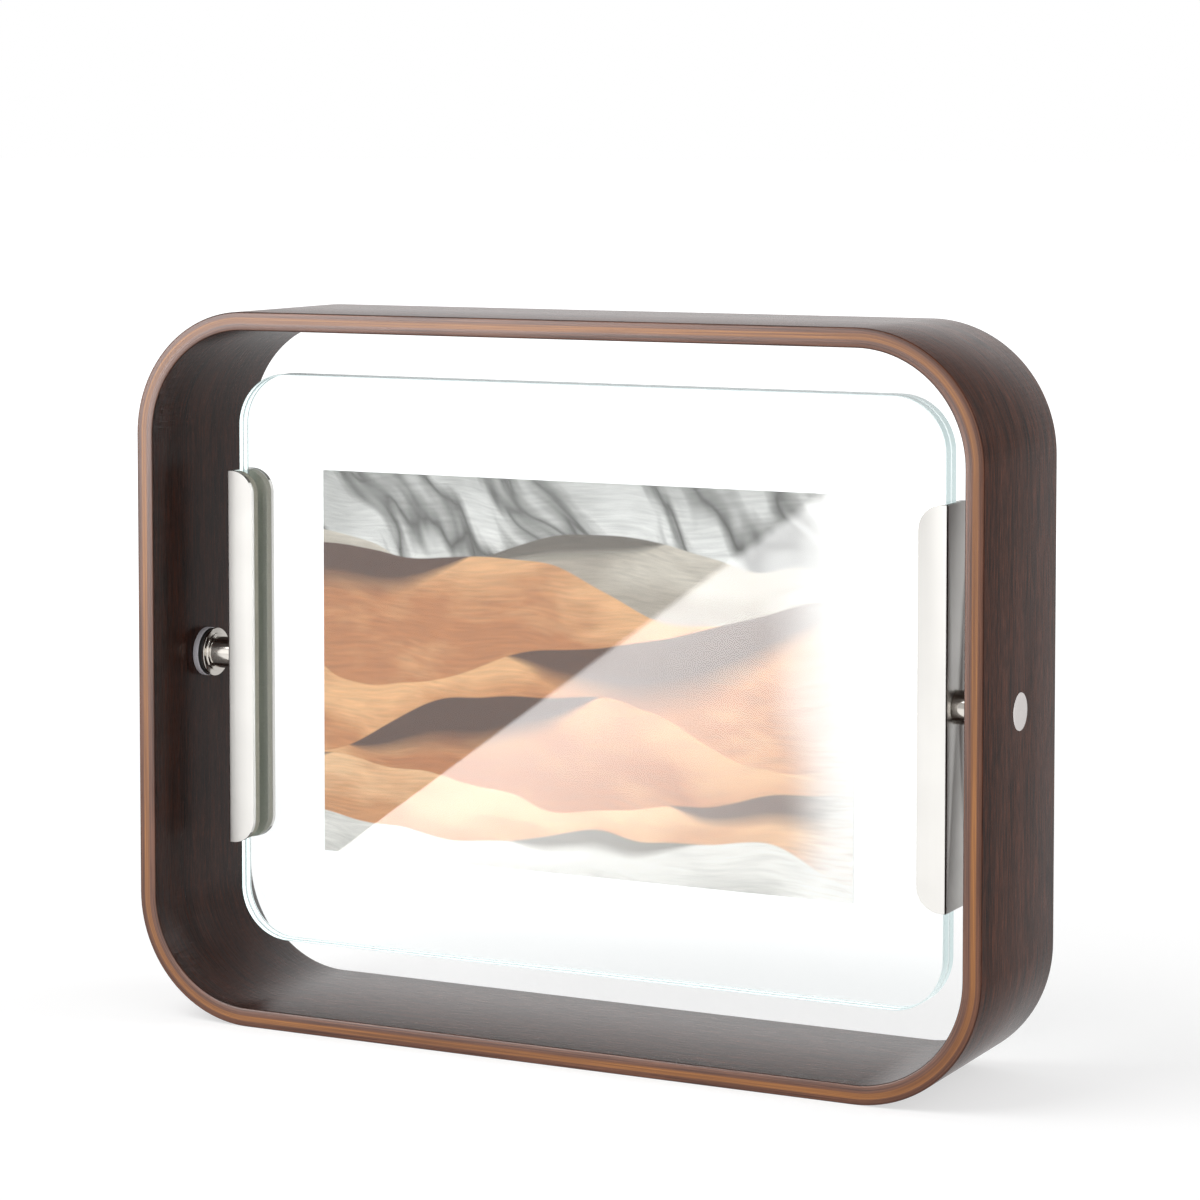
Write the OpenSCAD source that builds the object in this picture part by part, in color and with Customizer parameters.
// Desktop photo frame. A loop of bent plywood stands on its flat underside, and a glass panel
// swivels between its two sides. The panel is two panes with a print between them, held at the
// left and right by U channels of thin metal, and each channel turns on a pivot through the wood.
// Origin: middle of the underside. X runs along the width, Y from front to back, Z up.

/* [Loop] */
// Outside width of the loop
loop_w = 238.4; // [190:0.2:300]
// Outside height of the loop
loop_h = 188; // [140:0.5:260]
// Depth of the loop from its front edge to its back edge
loop_depth = 50.2; // [24:0.2:90]
// Radius of the loop's outside corners
corner_r = 33; // [12:0.5:36]
// Thickness of the outer ply
outer_ply_t = 1.4; // [1:0.1:3]
// Thickness of the core ply
core_ply_t = 1.6; // [0.8:0.1:3]
// Thickness of the inner ply
inner_ply_t = 1.9; // [0.8:0.1:3]
// Radius of the loop's sanded arrises, front and back
arris_r = 0.4; // [0.1:0.05:0.7]

/* [Glass] */
// Mean space between the loop and the glass, above and below, in which the glass swings
swing_gap = 13.1; // [10:0.1:22]
// Thickness of a pane
pane_t = 3.3; // [2:0.1:4.4]
// Radius of a pane's corners
pane_corner_r = 14; // [4:0.5:24]
// Width of the ground bevel round both faces of a pane
pane_bevel = 0.3; // [0.1:0.05:0.8]

/* [Print] */
// Width of the print between the panes
print_w = 152.4; // [80:0.2:178]
// Height of the print
print_h = 101.6; // [60:0.2:116]
// Thickness of the print's paper
print_t = 0.25; // [0.1:0.05:0.4]

/* [Channels] */
// Length of a channel, top to bottom
channel_l = 100; // [50:1:112]
// Thickness of the channel's metal
sheet_t = 1.2; // [0.6:0.1:1.6]
// Depth of a flange from the outside of the web to its free edge
flange_d = 7.8; // [5.5:0.1:12]
// Radius of a flange's free corners
flange_corner_r = 6.4; // [2:0.1:6.8]
// Radius outside the corner between web and flange
bend_r = 0.6; // [0.3:0.05:1.2]

/* [Grip strips] */
// Thickness of a strip between pane and flange
grip_t = 2.2; // [0.8:0.1:3.2]
// How far a strip stays back from the flange's free edges
grip_inset = 0.2; // [0.1:0.1:1.5]
// Gap between a strip and the inside of the web
grip_web_gap = 1; // [0.4:0.1:2]

/* [Pivots] */
// How far the pivots lie above the middle of the loop
pivot_rise = 0.5; // [-2:0.1:2]
// Diameter of the pivot post's head, flush in the outer ply
post_head_d = 9.4; // [8:0.1:12]
// Diameter of the post's shank through the core and inner plies
post_shank_d = 7; // [6:0.1:7.6]
// How far the post's head stands proud of the wood
post_proud = 0.15; // [0.05:0.05:0.5]
// Diameter of the wall washer
wall_washer_d = 13; // [11:0.1:16]
// Thickness of the wall washer
wall_washer_t = 1.55; // [0.8:0.05:2]
// Diameter of the friction washer
friction_washer_d = 12.7; // [10:0.1:15]
// Thickness of the friction washer
friction_washer_t = 1.15; // [0.6:0.05:1.6]
// Diameter of the spacer's flange
spacer_flange_d = 12.9; // [11:0.1:16]
// Thickness of the spacer's flange
spacer_flange_t = 0.8; // [0.5:0.05:1.2]
// Diameter of the spacer's barrel
barrel_d = 8.4; // [7:0.1:9.4]
// Length of the spacer, flange and barrel
spacer_l = 8.7; // [4:0.1:14]
// Diameter of the pivot screw's shank
screw_d = 4; // [3:0.1:4.6]
// Diameter of the pivot screw's thin head, inside the channel
screw_head_d = 7.2; // [6:0.1:8]

/* [Hidden] */

$fn = 96;
cut = 1;                  // overrun that lets every cut pass the face it starts from

// Clearances
run_clear = 0.05;         // radial gap where one piece turns on another
seat_clear = 0.05;        // radial gap round a piece that sits in the wood
glass_clear = 0.05;       // gap between a pane and a grip strip
print_clear = 0.025;      // gap between the print and each pane
pane_end_gap = 0.6;       // gap between a pane's side edge and the inside of the web
head_clear = 0.05;        // gap under the pivot screw's head

// Loop
wall_t = outer_ply_t + core_ply_t + inner_ply_t;
loop_mid_z = loop_h / 2;
pivot_z = loop_mid_z + pivot_rise;
loop_half_w = loop_w / 2;
inside_x = loop_half_w - wall_t;

// Pivot stack, from the wood towards the channel
wall_washer_x = inside_x - wall_washer_t;
friction_washer_x = wall_washer_x - friction_washer_t;
web_outside_x = friction_washer_x - spacer_l;
web_inside_x = web_outside_x - sheet_t;
washer_ease = 0.2;        // bevel round the rims of the wall washer and the post's head
collar_d = 10.2;          // small collar between the spacer's flange and its barrel
collar_t = 0.45;
barrel_ease = 0.45;       // chamfer at the barrel's channel end
screw_head_t = 0.4;
screw_reach = 3;          // how far the screw runs into the post
driver_af = 2.5;          // hexagon socket across flats
driver_depth = 1.6;

// Glass, made to fill the space between the channels, and its sandwich with the print
pane_w = 2 * (web_inside_x - pane_end_gap);
pane_h = loop_h - 2 * (wall_t + swing_gap);
print_gap = print_t + 2 * print_clear;
sandwich_t = 2 * pane_t + print_gap;

// Channel section
channel_gap = sandwich_t + 2 * (grip_t + glass_clear);
channel_t = channel_gap + 2 * sheet_t;
bend_in_r = bend_r / 3;
flange_round = min(flange_corner_r, flange_d - bend_r);

// A rectangle with round corners, centred
module rounded_rect(w, h, r) {
    square([w - 2 * r, h], center = true);
    square([w, h - 2 * r], center = true);
    for (x = [-1, 1], z = [-1, 1])
        translate([x * (w / 2 - r), z * (h / 2 - r)]) circle(r);
}

// A flat plate in the XZ plane, its front face at y and its thickness towards the back
module upright_plate(y, t) {
    translate([0, y + t, pivot_z]) rotate([90, 0, 0]) linear_extrude(height = t) children();
}

// A section carried round an upright rounded rectangle: its X is the distance in from the
// outline, and its Y the place along the depth, with zero at depth y. z is the outline's middle
module round_sweep(w, h, r, y, z) {
    translate([0, y, z]) rotate([90, 0, 0]) for (k = [0 : 3]) {
        run = (k % 2 == 0 ? w : h) - 2 * r;
        reach = (k % 2 == 0 ? h : w) / 2;
        rotate([0, 0, 90 * k]) {
            translate([-run / 2, -reach, 0]) rotate([90, 0, 90])
                linear_extrude(height = run) children();
            translate([run / 2, reach - r, 0])
                rotate_extrude(angle = 90) translate([r, 0]) mirror([1, 0]) children();
        }
    }
}

// A turned piece: the outline's X is the radius, and its Y is the place along the pivot axis
module turned() {
    translate([0, 0, pivot_z]) rotate([0, 90, 0]) rotate_extrude() children();
}

// The shape on one side of the frame: right as drawn, left mirrored
module on_side(side) {
    mirror([side == "left" ? 1 : 0, 0, 0]) children();
}

// Round hole along the pivot axis, through the right and left walls alike
module pivot_hole(d) {
    translate([-loop_w, 0, pivot_z]) rotate([0, 90, 0]) cylinder(d = d, h = 2 * loop_w);
}

// Section of a face ply, with its two arrises sanded round on the side where X is zero
module face_ply_section(t) {
    intersection() {
        translate([t, 0]) rounded_rect(2 * t, loop_depth, arris_r);
        translate([0, -loop_depth / 2]) square([t, loop_depth]);
    }
}

// One bent ply: its section carried round the loop, and the pivots' hole through it
module ply(hole_d) {
    difference() {
        round_sweep(loop_w, loop_h, corner_r, 0, loop_mid_z) children();
        pivot_hole(hole_d);
    }
}

module outer_ply() {
    color("#4e423e") ply(post_head_d + 2 * seat_clear) face_ply_section(outer_ply_t);
}

module core_ply() {
    color("#9a6a45") ply(post_shank_d + 2 * seat_clear)
        translate([outer_ply_t, -loop_depth / 2]) square([core_ply_t, loop_depth]);
}

module inner_ply() {
    color("#4a3c38") ply(post_shank_d + 2 * seat_clear)
        translate([wall_t, 0]) mirror([1, 0]) face_ply_section(inner_ply_t);
}

// Post: a flat bevelled head in the outer ply, a shank through the other two, and a blind hole
// from the inside for the screw
module pivot_post(side) {
    head_x = loop_half_w + post_proud;
    shoulder_x = loop_half_w - outer_ply_t;
    hole_x = inside_x + screw_reach + cut / 2;
    color("#cfcac6") on_side(side) turned() polygon([
        [screw_d / 2 + run_clear, inside_x],
        [post_shank_d / 2, inside_x],
        [post_shank_d / 2, shoulder_x],
        [post_head_d / 2, shoulder_x],
        [post_head_d / 2, head_x - washer_ease],
        [post_head_d / 2 - washer_ease, head_x],
        [0, head_x],
        [0, hole_x],
        [screw_d / 2 + run_clear, hole_x]
    ]);
}

// Wall washer: flat against the wood, with both rims eased
module wall_washer(side) {
    color("#a5a3a2") on_side(side) turned() polygon([
        [screw_d / 2 + run_clear, wall_washer_x],
        [wall_washer_d / 2 - washer_ease, wall_washer_x],
        [wall_washer_d / 2, wall_washer_x + washer_ease],
        [wall_washer_d / 2, inside_x - washer_ease],
        [wall_washer_d / 2 - washer_ease, inside_x],
        [screw_d / 2 + run_clear, inside_x]
    ]);
}

module friction_washer(side) {
    color("#181715") on_side(side) turned() polygon([
        [screw_d / 2 + run_clear, friction_washer_x],
        [friction_washer_d / 2, friction_washer_x],
        [friction_washer_d / 2, wall_washer_x],
        [screw_d / 2 + run_clear, wall_washer_x]
    ]);
}

// Spacer: a thin flange on the friction washer, a collar, and a barrel up to the channel
module spacer(side) {
    flange_x = friction_washer_x - spacer_flange_t;
    collar_x = flange_x - collar_t;
    color("#8f8d87") on_side(side) turned() polygon([
        [screw_d / 2 + run_clear, web_outside_x],
        [barrel_d / 2 - barrel_ease, web_outside_x],
        [barrel_d / 2, web_outside_x + barrel_ease],
        [barrel_d / 2, collar_x],
        [collar_d / 2 - collar_t / 2, collar_x],
        [collar_d / 2, collar_x + collar_t / 2],
        [collar_d / 2, flange_x],
        [spacer_flange_d / 2, flange_x],
        [spacer_flange_d / 2, friction_washer_x],
        [screw_d / 2 + run_clear, friction_washer_x]
    ]);
}

// Screw: a thin head inside the channel, with a hexagon socket, and a shank into the post
module pivot_screw(side) {
    under_head_x = web_inside_x - head_clear;
    head_x = under_head_x - screw_head_t;
    color("#b9b6b0") on_side(side) difference() {
        turned() polygon([
            [0, head_x],
            [screw_head_d / 2 - screw_head_t / 2, head_x],
            [screw_head_d / 2, head_x + screw_head_t / 2],
            [screw_head_d / 2, under_head_x],
            [screw_d / 2, under_head_x],
            [screw_d / 2, inside_x + screw_reach],
            [0, inside_x + screw_reach]
        ]);
        translate([head_x - cut, 0, pivot_z]) rotate([0, 90, 0])
            cylinder(r = driver_af / sqrt(3), h = driver_depth + cut, $fn = 6);
    }
}

// Channel: a U of thin metal, its flanges cut to round free corners
module channel(side) {
    color("#e6e5e1") on_side(side) difference() {
        intersection() {
            translate([web_outside_x - flange_d, 0, pivot_z - channel_l / 2])
                linear_extrude(height = channel_l) difference() {
                    rounded_rect(2 * flange_d, channel_t, bend_r);
                    translate([-sheet_t, 0]) rounded_rect(2 * flange_d, channel_gap, bend_in_r);
                }
            translate([web_outside_x, 0, 0]) upright_plate(-channel_t, 2 * channel_t)
                rounded_rect(2 * flange_d, channel_l, flange_round);
        }
        pivot_hole(screw_d + 2 * run_clear);
    }
}

// Grip strip: lies on the inside of one flange and follows its round corners, a little smaller
module grip(side, face) {
    grip_x = web_inside_x - grip_web_gap;
    y = face == "front" ? -channel_gap / 2 : channel_gap / 2 - grip_t;
    reach = flange_d - grip_inset;
    color("#5d5e56") on_side(side) difference() {
        translate([web_outside_x, 0, 0]) upright_plate(y, grip_t)
            rounded_rect(2 * reach, channel_l - 2 * grip_inset, flange_round - grip_inset);
        translate([grip_x, -channel_t, pivot_z - channel_l])
            cube([2 * flange_d, 2 * channel_t, 2 * channel_l]);
    }
}

// Pane: a flat plate, and round it a rim with both arrises ground to a small bevel
module pane(y) {
    flat_w = pane_w - 2 * pane_bevel;
    flat_h = pane_h - 2 * pane_bevel;
    edge_t = pane_t - 2 * pane_bevel;
    color("#d8ecec", 0.35) {
        upright_plate(y, pane_t) rounded_rect(flat_w, flat_h, pane_corner_r - pane_bevel);
        round_sweep(pane_w, pane_h, pane_corner_r, y + pane_t / 2, pivot_z) polygon([
            [0, -edge_t / 2],
            [pane_bevel, -pane_t / 2],
            [2 * pane_bevel, -pane_t / 2],
            [2 * pane_bevel, pane_t / 2],
            [pane_bevel, pane_t / 2],
            [0, edge_t / 2]
        ]);
    }
}

module front_pane() { pane(-sandwich_t / 2); }

module back_pane() { pane(print_gap / 2); }

module print_sheet() {
    color("#d8b48c") upright_plate(-print_t / 2, print_t)
        square([print_w, print_h], center = true);
}

outer_ply();
core_ply();
inner_ply();
pivot_post("left");  // left_pivot_post
pivot_post("right");  // right_pivot_post
wall_washer("left");  // left_wall_washer
wall_washer("right");  // right_wall_washer
friction_washer("left");  // left_friction_washer
friction_washer("right");  // right_friction_washer
pivot_screw("left");  // left_pivot_screw
pivot_screw("right");  // right_pivot_screw
spacer("left");  // left_spacer
spacer("right");  // right_spacer
channel("left");  // left_channel
channel("right");  // right_channel
grip("left", "front");  // left_front_grip
grip("left", "back");  // left_back_grip
grip("right", "front");  // right_front_grip
grip("right", "back");  // right_back_grip
front_pane();
back_pane();
print_sheet();
